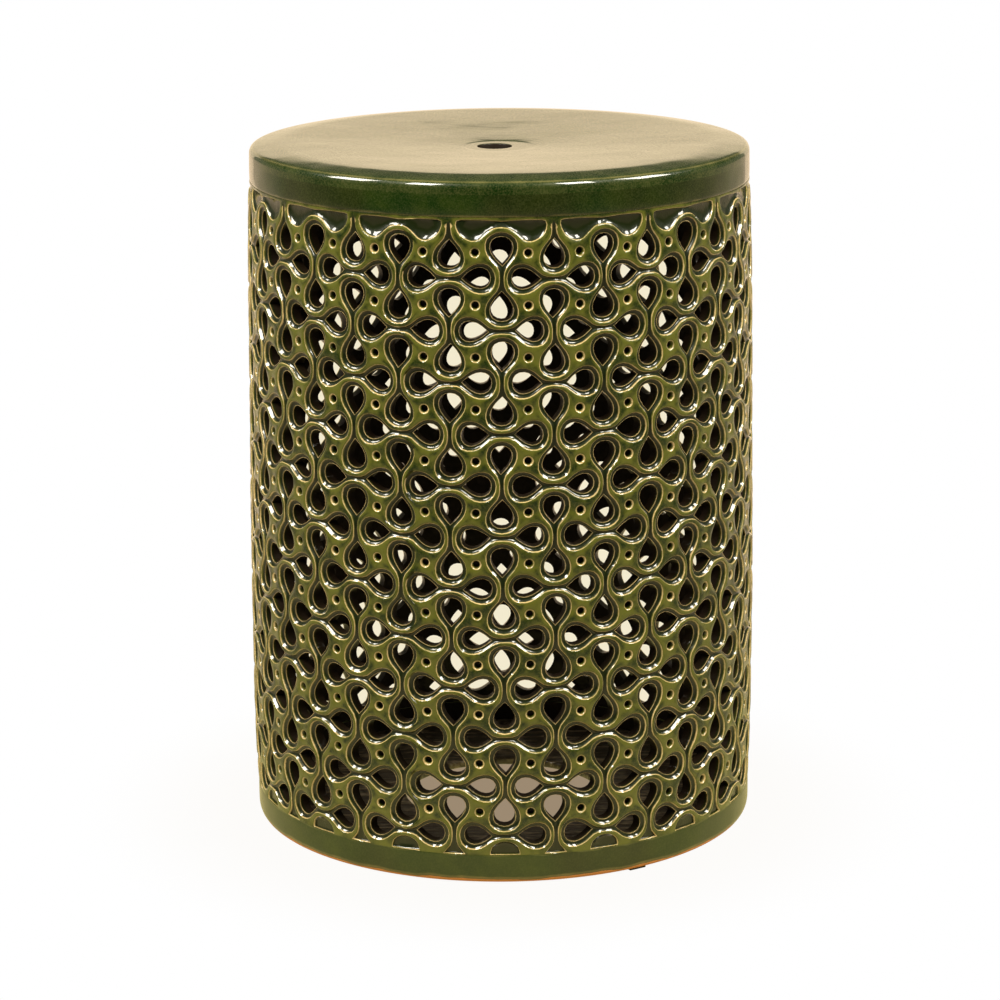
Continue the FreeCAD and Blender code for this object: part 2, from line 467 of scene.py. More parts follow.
def drop_tile(shape, grooved=True):
    """The upper half of a drop's diamond, from node to node and up to the small hole."""
    half = shape.half
    hole_place = (0.0, half)
    plan = ReliefPlan()
    draw_drop(plan, shape)
    draw_round_node(plan, shape, grooved)
    round_side = shape.border(True)
    point_side = shape.border(False)
    plan.line(round_side, shape.border_finishes(grooved))
    plan.line(point_side, shape.border_finishes())
    for radius, finish in zip(shape.rings, SMALL_HOLE_RINGS):
        plan.line(shape.ring(radius, 225, 315, hole_place), finish)
    rim = shape.ring(shape.rings[2], 225, 315, hole_place)
    border = shape.hole + point_side + rim[-2:0:-1] + round_side[::-1]
    inner_border = [(-half, 0.0)] + shape.inner_hole + [(half, 0.0), hole_place]
    sides = {
        "round": (round_side, len(plan.points), [hole_place, (-half, 0.0)]),
        "point": (point_side, len(plan.points) + RING_POINTS - 1, [hole_place, (half, 0.0)]),
    }
    return close_plan(shape, plan, border, [(hole_place, 225, 315)], inner_border, True, sides)


def bottom_tile(shape, height):
    """Half a drop of the lowest row and the blind recesses beside it, down to the foot band."""
    half = shape.half
    base = height - FOOT_LEDGE
    low = base - FOOT_WALL
    plan = ReliefPlan()
    draw_drop(plan, shape)
    draw_round_node(plan, shape)
    for gap, finish in zip(shape.groove, shape.node_finishes()[1:]):
        plan.line([(half - gap, gap), (half, gap)], finish)
    foot_of_wall = (shape.deep - 0.3, 0.0, 1.0)
    walls = ((shape.pool, low, foot_of_wall), (shape.arris, base, ARRIS), (shape.ridge, height, BARE))
    for run, end, finish in walls:
        pointed = cut_at([(-half + y, half - x) for x, y in run[::-1]], end)
        rounded = cut_at([(half - y, half + x) for x, y in run], end)
        rising = shape.pool_finishes(run)[::-1][:len(pointed)] if run is shape.pool else finish
        plan.line(pointed, rising)
        plan.line(rounded, finish)
        if end < height:
            plan.line([(-half, end), pointed[-1]], finish)
            plan.line([rounded[-1], (half, end)], finish)
    floor = (shape.deep - 0.15, 0.0, 1.0)
    left = [(-half, 0.0), (-half, 4.0), (-half, 8.0), (-half, low), (-half, base), (-half, height)]
    plan.line(left, [NECK_MIDDLE, (1.55, 0.0, 1.0), floor, floor, ARRIS, BARE])
    top = [(half, 0.0)] + [(half, g) for g in shape.groove]
    right = top + [(half, half + run[0][0]) for run in (shape.ridge, shape.arris, shape.pool)]
    right += [(half, 8.0), (half, low), (half, base), (half, height)]
    plan.line(right, [BARE] * 7 + [floor] * 4)
    foot = [(x, height) for x in sorted(p[0] for p in plan.points if abs(p[1] - height) < 1e-6)]
    plan.line(foot)
    border = shape.hole + [(half, 0.0), (half, height), (-half, height), (-half, 0.0)]
    inner_border = [(-half, 0.0)] + shape.inner_hole + [(half, 0.0), (half, height), (-half, height)]
    sides = {
        "round": (left, None, [(-half, height), (-half, 0.0)]),
        "point": (right, None, [(half, height), (half, 0.0)]),
        "end": (foot, None, [(half, height), (-half, height)]),
    }
    return close_plan(shape, plan, border, [], inner_border, True, sides)


def top_tile(shape, height):
    """The relief above the first small holes, from a node under a recess to the next node."""
    half = shape.half
    hole_place = (half, -half)
    plan = ReliefPlan()
    round_side = [(y, -x - half) for x, y in shape.border(True)]
    point_side = [(2 * half - y, x - half) for x, y in shape.border(False)]
    plan.line(round_side, shape.border_finishes(False))
    plan.line(point_side, shape.border_finishes())
    for radius, finish in zip(shape.rings, SMALL_HOLE_RINGS):
        plan.line(shape.ring(radius, 45, 135, hole_place), finish)
    low = [(5.2, -1.6), (9.7, -5.0), (13.7, -8.5), (18.3, -9.4), (23.2, -7.3), (26.6, -4.0), (28.2, 0.6)]
    arris = smooth_run([round_side[1]] + low + [(27.7, 3.0), (25.8, 3.7), (13.0, 3.9), (0.0, 3.1)], 26)
    pool = set_off(arris, LEDGE_WALL, (0.0, 0.0), (0.0, 2.4))
    ridge = set_off(arris, -0.45, round_side[2], (0.0, 3.55))
    plan.line(pool, NECK_MIDDLE)
    plan.line(arris, END_ARRIS)
    plan.line(ridge)
    plan.line([(6.0, 0.8), (12.5, -2.2), (18.5, -4.2), (24.0, -1.5)], (1.75, 0.0, 0.8))
    edge = 2 * half
    groove = [point_side[1], (edge - 0.7, 0.6), (edge, 2.6)]
    plan.line(groove, [NECK_SIDE, (0.9, 0.0, 1.0), (0.3, 0.0, 0.6)])
    plan.line([point_side[2], (edge - 1.3, 0.7), (edge - 0.8, 2.6), (edge, 3.3)],
              [ARRIS, (0.2, 0.9, 0.0), (0.1, 0.4, 0.0), BARE])
    left = [(0.0, 0.0), (0.0, 2.4), (0.0, 3.1), (0.0, 3.55), (0.0, height)]
    right = [(edge, 0.0), (edge, 2.6), (edge, 3.3), (edge, height)]
    plan.line(left)
    plan.line(right, [NECK_MIDDLE, BARE, BARE, BARE])
    rim = [(x, height) for x in np.linspace(0.0, edge, 6)]
    plan.line(rim)
    ring = shape.ring(shape.rings[2], 45, 135, hole_place)
    border = round_side + ring[-2:0:-1] + point_side[::-1] + rim[::-1]
    inner_border = [(0.0, 0.0), hole_place, (edge, 0.0), (edge, height), (0.0, height)]
    sides = {
        "round": (left, None, [(0.0, height), (0.0, 0.0)]),
        "point": (right, None, [(edge, height), (edge, 0.0)]),
        "end": (rim, None, [(edge, height), (0.0, height)]),
        "under": (round_side, len(plan.points) + RING_POINTS - 1, [hole_place, (0.0, 0.0)]),
    }
    return close_plan(shape, plan, border, [(hole_place, 45, 135)], inner_border, False, sides)


class Layout:
    """Tiles laid side by side on the flat: points with their finish, and the faces between them."""

    def __init__(self):
        self.points = []
        self.faces = []
        self.count = 0

    def lay(self, tile, middle, turn, mirrored, hand, closed=()):
        """Lays a tile with its own hand-cut difference; the named sides are closed."""
        spot = tile.points.copy()
        if mirrored:
            spot[:, 1] = -spot[:, 1]
        x, y, free = spot[:, 0].copy(), spot[:, 1].copy(), spot[:, 5]
        lean, length, width, along, across = hand
        moved_x = x * length * math.cos(lean) - y * width * math.sin(lean) + along
        moved_y = x * length * math.sin(lean) + y * width * math.cos(lean) + across
        x += free * (moved_x - x)
        y += free * (moved_y - y)
        c, s = math.cos(turn), math.sin(turn)
        spot[:, 0] = middle[0] + c * x - s * y
        spot[:, 1] = middle[1] + s * x + c * y
        self.add(spot, tile, mirrored, closed)

    def lay_end(self, tile, left, level, width, mirrored, closed=()):
        """Lays a tile of the drum's top, turned over where its column is an odd one."""
        spot = tile.points.copy()
        if mirrored:
            spot[:, 0] = width - spot[:, 0]
        spot[:, 0] += left
        spot[:, 1] += level
        self.add(spot, tile, mirrored, closed)

    def add(self, spot, tile, mirrored, closed):
        """Adds placed points and their faces."""
        faces = list(tile.faces) + [tile.sides[name] for name in closed]
        if mirrored:
            faces = [face[::-1] for face in faces]
        self.faces += [[self.count + v for v in face] for face in faces]
        self.points.append(spot)
        self.count += len(spot)

    def welded(self):
        """The points once each, and the faces on them."""
        spots = np.vstack(self.points)
        keys = np.round((spots[:, :3] + WELD_SHIFT) / WELD_GRID).astype(np.int64)
        _, first, which = np.unique(keys, axis=0, return_index=True, return_inverse=True)
        which = which.ravel()
        faces = []
        for face in self.faces:
            ring = [int(which[v]) for v in face]
            ring = [v for v, w in zip(ring, ring[1:] + ring[:1]) if v != w]
            if len(ring) > 2:
                faces.append(ring)
        return spots[first], faces


def hand_of(relief, luck, upright):
    """How one drop differs from the pattern: lean, length, width and shift."""
    slip = relief.hand_variation / MM
    width = UPRIGHT_WIDTH if upright else LEVEL_WIDTH
    return (math.radians(luck.uniform(-HAND_LEAN, HAND_LEAN)), luck.uniform(*HAND_LENGTHS),
            width * luck.uniform(*HAND_WIDTHS), luck.uniform(-slip, slip), luck.uniform(-slip, slip))


def half_layout(relief, first_column):
    """Half of the drum laid flat, from the column after its joint."""
    shape = DropShape(relief)
    pitch = 2 * shape.half
    lower = (drum_nodes_z(relief) - relief.rows * relief.row_pitch - drum_foot) / MM
    upper = (relief_top(relief) - drum_nodes_z(relief)) / MM
    plain, under_recess = drop_tile(shape), drop_tile(shape, False)
    foot, head = bottom_tile(shape, lower), top_tile(shape, upper)
    luck = random.Random(relief.seed + first_column)
    half_columns = relief.columns // 2
    layout = Layout()
    for column in range(1, half_columns + 1):
        for row in range(relief.rows):
            even = (column + row) % 2 == 0
            middle = ((first_column + column) * pitch, -(row + 0.5) * pitch)
            turn = math.radians(270 if even else 90)
            tile = under_recess if row == 0 and even else plain
            hand = hand_of(relief, luck, True)
            for mirrored in (False, True):
                outer = column == half_columns and faces_right(turn, mirrored)
                layout.lay(tile, middle, turn, mirrored, hand, ("round", "point") if outer else ())
    for column in range(half_columns):
        for row in range(1, relief.rows + 1):
            even = (column + row) % 2 == 0
            middle = ((first_column + column + 0.5) * pitch, -row * pitch)
            turn = math.radians(180 if even else 0)
            hand = hand_of(relief, luck, False)
            left, right = ("point", "round") if even else ("round", "point")
            for mirrored in (False, True):
                low = mirrored != even
                closed = [left] if column == 0 else []
                if row == relief.rows and low:
                    if column == half_columns - 1:
                        closed.append(right)
                    layout.lay(foot, middle, turn, mirrored, hand, closed + ["end"])
                else:
                    layout.lay(plain, middle, turn, mirrored, hand, closed)
    for column in range(half_columns):
        closed = ["end"]
        if column == 0:
            closed += ["round", "under"]
        if column == half_columns - 1:
            closed.append("round")
        layout.lay_end(head, (first_column + column) * pitch, 0.0, pitch, column % 2 == 1, closed)
    return layout.welded()


def faces_right(turn, mirrored):
    """Whether an upright drop's half is the one on its right."""
    across = -1.0 if mirrored else 1.0
    return -math.sin(turn) * across > 0


def drum_nodes_z(relief):
    """Height of the first row of nodes."""
    return drum_top - relief.top_node_drop


def relief_top(relief):
    """Height at which the relief gives way to the smooth band."""
    return drum_nodes_z(relief) + TOP_RISE * MM


# The drum's profile in millimetres: heights, and how far out the ridges reach there
RIDGE_HEIGHTS = (0.0, 20.2, 30.0, 45.0, 75.0, 105.0, 148.0, 215.0, 283.0, 375.0, 405.0, 422.0, 427.6, 460.0)
RIDGE_RADII = (
    165.6, 165.6, 166.3, 166.7, 167.3, 167.3, 167.4, 166.9, 165.7, 164.6, 163.7, 162.9, 162.15, 162.15)


def swell(turn, z):
    """How far the hand-built wall strays in and out, in millimetres."""
    return (0.14 * math.sin(2 * turn + 0.7) + 0.12 * math.sin(5 * turn + z / 60.0)
            + 0.10 * math.sin(9 * turn - z / 31.0 + 1.3) + 0.07 * math.sin(17 * turn + z / 23.0))


def drift(turn, z):
    """How far the pattern strays sideways and up or down, in millimetres."""
    side = 0.30 * math.sin(3 * turn + z / 70.0) + 0.22 * math.sin(7 * turn - z / 38.0 + 2.0)
    rise = 0.26 * math.sin(4 * turn + z / 55.0 + 0.5) + 0.20 * math.sin(11 * turn + z / 90.0)
    return side, rise


def wrap(relief, spots):
    """Wraps laid-out points round the drum: places in metres, and their finish."""
    pitch = relief.row_pitch / MM
    top = drum_nodes_z(relief) / MM
    highest = relief_top(relief) / MM
    lowest = drum_foot / MM
    widest = min(-cad_box[0][0], cad_box[1][0], -cad_box[0][1], cad_box[1][1]) / MM - WALL_CLEARANCE
    seam = relief.seam_angle
    turns = relief.columns * pitch
    places = []
    for u, v, depth in spots[:, :3]:
        z = top + v
        turn = u / turns * 2 * math.pi
        calm = min(1.0, max(0.0, (z - lowest) / CALM_FOOT), max(0.0, (highest - z) / CALM_HEAD))
        side, rise = drift(turn, z)
        from_seam = (u + 0.5 * turns) % turns - 0.5 * turns
        smeared = 1 - SMEAR_SHARE * math.exp(-(from_seam / SMEAR_REACH) ** 2)
        if v > FILLED_FROM and FILLED_START < from_seam < FILLED_END:
            smeared *= FILLED_SHARE
        if depth < SURFACE_DEPTH:
            depth *= smeared
        reach = float(np.interp(z, RIDGE_HEIGHTS, RIDGE_RADII)) + calm * swell(turn, z)
        reach = min(reach - depth, widest)
        angle = seam + turn + calm * side / MEAN_RADIUS
        z = min(max(z + calm * rise, lowest), highest)
        places.append((reach * math.sin(angle) * MM, -reach * math.cos(angle) * MM, z * MM))
    return places


# Modelling helpers

def edit_mesh(*steps):
    """Takes the active piece's whole mesh through steps in edit mode."""
    bpy.ops.object.mode_set(mode="EDIT")
    bpy.ops.mesh.select_all(action="SELECT")
    for step in steps:
        step()
    bpy.ops.object.mode_set(mode="OBJECT")


def face_outwards():
    """Turns every face of the mesh outwards."""
    bpy.ops.mesh.normals_make_consistent(inside=False)


def fresh_start():
    """Nothing selected, in object mode."""
    if bpy.context.object and bpy.context.object.mode != "OBJECT":
        bpy.ops.object.mode_set(mode="OBJECT")
    bpy.ops.object.select_all(action="DESELECT")


def choose(piece):
    """Makes one piece the selected and active one."""
    fresh_start()
    piece.select_set(True)
    bpy.context.view_layer.objects.active = piece


def new_primitive(name):
    """Names the primitive that was just added."""
    piece = bpy.context.active_object
    piece.name = piece.data.name = name
    return piece


def settle(piece):
    """Puts a piece's place, turn and size into its mesh."""
    choose(piece)
    bpy.ops.object.transform_apply(location=True, rotation=True, scale=True)


def turned(name, segments, rings):
    """A closed turned piece through rings given as the middle's x, radius and height in millimetres."""
    fresh_start()
    middle, radius, z = rings[0]
    bpy.ops.mesh.primitive_circle_add(
        vertices=segments, radius=radius * MM, fill_type="NOTHING", location=(middle * MM, 0, z * MM))
    piece = new_primitive(name)
    settle(piece)

    def extrude():
        for (here, small, low), (there, large, high) in zip(rings, rings[1:] + rings[:1]):
            step = ((there - here) * MM, 0, (high - low) * MM)
            bpy.ops.mesh.extrude_edges_move(TRANSFORM_OT_translate={"value": step})
            grow = large / small
            bpy.ops.transform.resize(value=(grow, grow, 1), center_override=(there * MM, 0, high * MM))
        bpy.ops.mesh.select_all(action="SELECT")
        bpy.ops.mesh.remove_doubles(threshold=WELD_DISTANCE)

    edit_mesh(extrude, face_outwards)
    return piece


def rings_at(radius, z, offsets, middle=0.0):
    """Rings of a turned piece, from how far out and up they are from a radius and a height."""
    return [(middle, radius + out, z + up) for out, up in offsets]


def smooth(piece, degrees):
    """Smooth shading with the sharper edges kept."""
    choose(piece)
    bpy.ops.object.shade_smooth_by_angle(angle=math.radians(degrees))


def dress(piece, materials, replaced):
    """Gives a piece its materials and its body, and hides the CAD node it stands for."""
    for material in materials:
        piece.data.materials.append(material)
    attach(piece, "root")
    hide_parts(replaced)


def turn_out(name, replaced, segments, rings, materials, inner=None):
    """Turns a piece and dresses it; the faces whose middle inner picks get the second material."""
    piece = turned(name, segments, rings)
    for face in piece.data.polygons:
        if inner is not None and inner(face.center):
            face.material_index = 1
    smooth(piece, TURNED_SMOOTHING)
    dress(piece, materials, replaced)


# Materials: noise as scale in bumps per metre, detail, roughness and stretch; colours as linear light

SLOW_RIPPLE = (26.0, 1.5, 0.4)
CLOUDS = (62.0, 3.0, 0.55)
SPECKLE = (900.0, 2.0, 0.6)
BREAK_GRAIN = (520.0, 2.0, 0.6)
BREAK_PATCHES = (75.0, 2.0, 0.5)
HAND_WORK = (150.0, 1.0, 0.4)
LINE_WANDER = (48.0, 3.0, 0.5)
# Broad upright patches for the bands' painted reflections
PAINTED_REFLECTION_PATCHES = (15.0, 1.0, 0.4, (1.0, 1.0, 0.25))
CLAY_GRIT = (1400.0, 3.0, 0.6)
WASH_STREAKS = (90.0, 3.0, 0.55, (1.0, 1.0, 0.4))
BASE_RUNS = (120.0, 4.0, 0.6, (0.4, 1.8, 1.0))
BASE_PATCHES = (30.0, 2.0, 0.5)
RUBBER_GRAIN = (2200.0, 3.0, 0.6)
RUBBER_DUST = (260.0, 3.0, 0.6)

ISLAND_GREEN = (0.007, 0.020, 0.001)
ISLAND_SPECK = (0.12, 0.12, 0.025)
PALE_TAN = (0.86, 0.66, 0.33)
BAND_OLIVE = (0.042, 0.060, 0.006)
# Brown of the bands' painted reflections
PAINTED_REFLECTION_BROWN = (0.016, 0.018, 0.003)
BAND_SPECK = (0.10, 0.11, 0.03)
DARK_CLAY = (0.60, 0.22, 0.07)
SEAT_OLIVE = (0.06, 0.075, 0.018)
SEAT_SPECK = (0.16, 0.15, 0.05)
# Colour of the line on the seat's rolled edge: thin glaze and a painted highlight
SEAT_LINE_AND_HIGHLIGHT = (0.17, 0.15, 0.05)
WORN_CLAY = (0.05, 0.028, 0.012)
BASE_DARK = (0.05, 0.036, 0.02)
BASE_PALE = (0.42, 0.32, 0.19)
RUBBER_GREY = (0.07, 0.06, 0.05)

# What the shaders have in common, by the names of their inputs
GLAZED = {"IOR": 1.5, "Specular IOR Level": 0.2, "Coat Weight": 1.0, "Coat Roughness": 0.03, "Coat IOR": 1.55}
RUBBER = {"IOR": 1.5}
GLAZE_ROUGHNESS = (0.26, 0.38)
# Depths in millimetres between which a drop's glaze gives way to the wash inside it
WASH_DEPTHS = (3.0, 5.0)
# How far out the seat's rolled edge carries a line of thin glaze with a painted highlight, and how fine its
# turning rings are
SEAT_LINE_RADIUS = 0.1600
RINGS_PER_METRE = 1100.0


class Nodes:
    """A shader tree, and the few kinds of node that its looks are made of."""

    def __init__(self, tree):
        self.tree = tree

    def add(self, kind, **given):
        """A new node with the given settings."""
        made = self.tree.nodes.new(kind)
        for key, value in given.items():
            setattr(made, key, value)
        return made

    def feed(self, source, target):
        """Links a socket to a socket, or writes a plain value to it."""
        if isinstance(source, bpy.types.NodeSocket):
            self.tree.links.new(source, target)
        elif target.type == "RGBA":
            target.default_value = (*source, 1.0)
        else:
            target.default_value = source

    def result(self, kind, *sources, **given):
        """The first output of a new node whose first inputs are fed in order."""
        made = self.add(kind, **given)
        for source, target in zip(sources, made.inputs):
            self.feed(source, target)
        return made.outputs[0]

    def named(self, kind, output, **sources):
        """An output of a new node whose inputs are fed by name."""
        made = self.add(kind)
        for title, source in sources.items():
            self.feed(source, made.inputs[title])
        return made.outputs[output]

    def math(self, operation, *values):
        """A math node's result."""
        return self.result("ShaderNodeMath", *values, operation=operation)

    def plus(self, a, b):
        """Two values added."""
        return self.math("ADD", a, b)

    def minus(self, a, b):
        """One value less another."""
        return self.math("SUBTRACT", a, b)

    def times(self, a, b):
        """Two values multiplied."""
        return self.math("MULTIPLY", a, b)

    def far_from(self, value, middle):
        """How far a value is from a middle one."""
        return self.math("ABSOLUTE", self.minus(value, middle))

    def from_axis(self, x, y):
        """How far a place is from the stool's axis."""
        return self.math("SQRT", self.plus(self.times(x, x), self.times(y, y)))

    def ramp(self, value, low, high, to_low=0.0, to_high=1.0):
        """A value eased from one range to another and held at its ends."""
        return self.result(
            "ShaderNodeMapRange", value, low, high, to_low, to_high, interpolation_type="SMOOTHSTEP")

    def blend(self, share, first, second):
        """A share of the second colour laid over the first."""
        made = self.add("ShaderNodeMix", data_type="RGBA")
        for source, target in ((share, 0), (first, 6), (second, 7)):
            self.feed(source, made.inputs[target])
        return made.outputs[2]

    def noise(self, place, scale, detail, roughness, stretch=None):
        """Noise, stretched along the axes if a stretch is given."""
        if stretch is not None:
            place = self.named("ShaderNodeMapping", 0, Vector=place, Scale=stretch)
        return self.named(
            "ShaderNodeTexNoise", 0, Vector=place, Scale=scale, Detail=detail, Roughness=roughness)

    def bump(self, height, reach):
        """A normal raised by a height mask, by up to a reach in metres."""
        return self.named("ShaderNodeBump", 0, Strength=1.0, Distance=reach, Height=height)

    def place(self):
        """The piece's own coordinates, in metres."""
        return self.add("ShaderNodeTexCoord").outputs["Object"]

    def axes(self, vector):
        """The three parts of a vector."""
        made = self.add("ShaderNodeSeparateXYZ")
        self.feed(vector, made.inputs[0])
        return list(made.outputs)

    def painted(self, name):
        """A value stored on the mesh's points."""
        return self.add("ShaderNodeAttribute", attribute_name=name).outputs["Fac"]

    def masks(self, name, **given):
        """The masks of a node group that the glazes share."""
        made = self.add("ShaderNodeGroup", node_tree=shared_group(name))
        for title, value in given.items():
            self.feed(value, made.inputs[title])
        return made.outputs


def mottle_masks(nodes, given):
    """Cloudy patches, fine speckle and slow ripples of a fired glaze."""
    place = given["Place"]
    return {
        "Clouds": nodes.ramp(nodes.noise(place, *CLOUDS), 0.32, 0.70),
        "Speckle": nodes.ramp(nodes.noise(place, *SPECKLE), 0.36, 0.72),
        "Ripple": nodes.noise(place, *SLOW_RIPPLE),
    }


def break_masks(nodes, given):
    """Where a glaze breaks thin over an edge, and where it has run together."""
    grain = nodes.minus(nodes.noise(given["Place"], *BREAK_GRAIN), 0.5)
    patches = nodes.minus(nodes.noise(given["Place"], *BREAK_PATCHES), 0.5)
    loose = nodes.plus(nodes.times(grain, 0.42), nodes.times(patches, 0.7))
    return {
        "Break": nodes.ramp(nodes.plus(given["Edge"], loose), 0.50, 0.98),
        "Pooled": nodes.ramp(nodes.plus(given["Pool"], nodes.times(loose, 0.6)), 0.25, 0.85),
    }


# The shared groups: what makes their masks, and their inputs
GROUPS = {
    "Glaze mottle": (mottle_masks, {"Place": "Vector"}),
    "Glaze break": (break_masks, {"Place": "Vector", "Edge": "Float", "Pool": "Float"}),
}


def shared_group(name):
    """The node group of a name, made when it is first wanted."""
    tree = bpy.data.node_groups.get(name)
    if tree is None:
        tree = bpy.data.node_groups.new(name, "ShaderNodeTree")
        nodes = Nodes(tree)
        make_masks, inputs = GROUPS[name]
        for title, kind in inputs.items():
            tree.interface.new_socket(title, in_out="INPUT", socket_type="NodeSocket" + kind)
        masks = make_masks(nodes, nodes.add("NodeGroupInput").outputs)
        for title in masks:
            tree.interface.new_socket(title, in_out="OUTPUT", socket_type="NodeSocketFloat")
        out = nodes.add("NodeGroupOutput")
        for title, mask in masks.items():
            nodes.feed(mask, out.inputs[title])
    return tree


def coating(name, look, *given, base=GLAZED):
    """The material of a name; when it is first wanted, look gives its shader's inputs."""
    material = bpy.data.materials.get(name)
    if material is None:
        material = bpy.data.materials.new(name)
        material.use_nodes = True
        nodes = Nodes(material.node_tree)
        inputs = nodes.tree.nodes["Principled BSDF"].inputs
        for title, value in {**base, **look(nodes, nodes.place(), *given)}.items():
            nodes.feed(value, inputs[title])
    return material


def relief_look(nodes, place, glaze):
    """The green glaze on the relief: thin on the ridges, dark in the ledges, tan where it breaks, with painted
    shade in its holes and pits.
    """
    depth, edge, pool, thin = (nodes.painted(name) for name in ("depth_mm", "edge", "pool", "thin"))
    cloud = nodes.masks("Glaze mottle", Place=place)
    broken = nodes.masks("Glaze break", Place=place, Edge=edge, Pool=pool)
    patchy = nodes.times(nodes.minus(cloud["Clouds"], 0.5), 0.8)
    green = nodes.blend(nodes.ramp(nodes.plus(thin, patchy), 0.04, 0.80), ISLAND_GREEN, glaze.thin_olive)
    green = nodes.blend(nodes.times(cloud["Speckle"], 0.30), green, ISLAND_SPECK)
    green = nodes.blend(broken["Pooled"], green, glaze.pool_green)
    tan = nodes.blend(cloud["Speckle"], glaze.break_tan, PALE_TAN)
    worn = nodes.times(nodes.times(broken["Break"], nodes.ramp(depth, 2.35, 3.0, 1.0, 0.0)), 0.85)
    height = nodes.plus(cloud["Ripple"], nodes.times(cloud["Speckle"], 0.04))
    worked = nodes.times(nodes.noise(place, *HAND_WORK), 0.25)
    glazed = nodes.blend(worn, green, tan)
    return {
        # Deeper than about 3 mm, on the drops' hole walls, the blind pits and the back, the glaze turns to the
        # dark inside colour: painted shade
        "Base Color": nodes.blend(nodes.ramp(depth, 2.9, 5.0), glazed, glaze.inside_shade_brown),
        "Roughness": nodes.ramp(depth, *WASH_DEPTHS, 0.32, 0.5),
        "Coat Weight": nodes.ramp(depth, *WASH_DEPTHS, 1.0, 0.15),
        "Normal": nodes.bump(height, 0.0016),
        "Coat Normal": nodes.bump(nodes.plus(nodes.noise(place, *SLOW_RIPPLE), worked), 0.0016),
    }


def band_look(nodes, place, glaze, lines, thinned, clay=None):
    """The thick green glaze of the bands, thin along the lines, with broad brown patches as painted reflections
    and bare clay below a height.
    """
    cloud = nodes.masks("Glaze mottle", Place=place)
    wander = nodes.times(nodes.minus(nodes.noise(place, *LINE_WANDER), 0.5), 0.004)
    z = nodes.plus(nodes.axes(place)[2], wander)
    green = nodes.blend(nodes.plus(nodes.times(cloud["Clouds"], 0.35), thinned), glaze.deep_green, BAND_OLIVE)
    # Broad upright brown patches on the bands: painted reflections of the room
    wide = nodes.ramp(nodes.noise(place, *PAINTED_REFLECTION_PATCHES), 0.46, 0.62, 0.0, 0.55)
    green = nodes.blend(wide, green, PAINTED_REFLECTION_BROWN)
    green = nodes.blend(nodes.times(cloud["Speckle"], 0.16), green, BAND_SPECK)
    for middle, spread, strength, over in lines:
        share = nodes.ramp(nodes.far_from(z, middle), 0.0, spread, strength, 0.0)
        green = nodes.blend(nodes.times(share, nodes.ramp(cloud["Clouds"], 0.0, 1.0, 0.6, 1.0)), green, over)
    look = {
        "Normal": nodes.bump(cloud["Ripple"], 0.0014),
        "Coat Normal": nodes.bump(nodes.noise(place, *SLOW_RIPPLE), 0.0014),
    }
    if clay is None:
        look["Base Color"] = green
        look["Roughness"] = nodes.ramp(cloud["Speckle"], 0.0, 1.0, *GLAZE_ROUGHNESS)
    else:
        glazed = nodes.ramp(z, clay, clay + 0.0006)
        raw = nodes.blend(nodes.noise(place, *CLAY_GRIT), glaze.clay_orange, DARK_CLAY)
        look["Base Color"] = nodes.blend(glazed, raw, green)
        look["Roughness"] = nodes.ramp(glazed, 0.0, 1.0, 0.85, 0.32)
        look["Coat Weight"] = glazed
    return look


def seat_look(nodes, place, glaze):
    """The green glaze of the seat, with faint turning rings and a thin line over its rolled edge that is partly
    thin glaze and partly a painted highlight.
    """
    cloud = nodes.masks("Glaze mottle", Place=place)
    x, y, _ = nodes.axes(place)
    reach = nodes.from_axis(x, y)
    green = nodes.blend(nodes.times(cloud["Clouds"], 0.45), glaze.deep_green, SEAT_OLIVE)
    green = nodes.blend(nodes.times(cloud["Speckle"], 0.25), green, SEAT_SPECK)
    # The line on the rolled edge: glaze thinned over the edge, and a painted highlight along it
    line = nodes.ramp(nodes.far_from(reach, SEAT_LINE_RADIUS), 0.0, 0.0011, 0.8, 0.0)
    line = nodes.times(line, nodes.ramp(cloud["Clouds"], 0.0, 1.0, 0.5, 1.0))
    rings = nodes.times(nodes.math("SINE", nodes.times(reach, RINGS_PER_METRE)), 0.010)
    rings = nodes.times(rings, nodes.ramp(reach, 0.03, 0.14, 1.0, 0.25))
    return {
        "Base Color": nodes.blend(line, green, SEAT_LINE_AND_HIGHLIGHT),
        "Roughness": nodes.ramp(cloud["Speckle"], 0.0, 1.0, *GLAZE_ROUGHNESS),
        "Normal": nodes.bump(nodes.plus(cloud["Ripple"], rings), 0.0007),
        "Coat Normal": nodes.bump(nodes.plus(nodes.noise(place, *SLOW_RIPPLE), rings), 0.0007),
    }


def wash_and_shade_look(nodes, place, glaze):
    """The dark, thin wash inside the drum, darkened to near black as painted shade, where the raw clay shows
    faintly.
    """
    streaks = nodes.noise(place, *WASH_STREAKS)
    return {
        "Base Color": nodes.blend(nodes.ramp(streaks, 0.55, 0.8, 0.0, 0.5), glaze.inside_shade_brown, WORN_CLAY),
        "Roughness": 0.55, "Coat Weight": 0.1,
        "Normal": nodes.bump(streaks, 0.0008),
    }


def base_look(nodes, place):
    """The brown wash on the base, run into glossy streaks round the hole."""
    runs = nodes.noise(place, *BASE_RUNS)
    patches = nodes.ramp(nodes.noise(place, *BASE_PATCHES), 0.35, 0.65, 0.35, 1.0)
    pale = nodes.times(nodes.ramp(runs, 0.48, 0.68), patches)
    return {
        "Base Color": nodes.blend(pale, BASE_DARK, BASE_PALE), "Roughness": 0.4, "Coat Weight": 0.8,
        "Normal": nodes.bump(runs, 0.002), "Coat Normal": nodes.bump(runs, 0.002),
    }


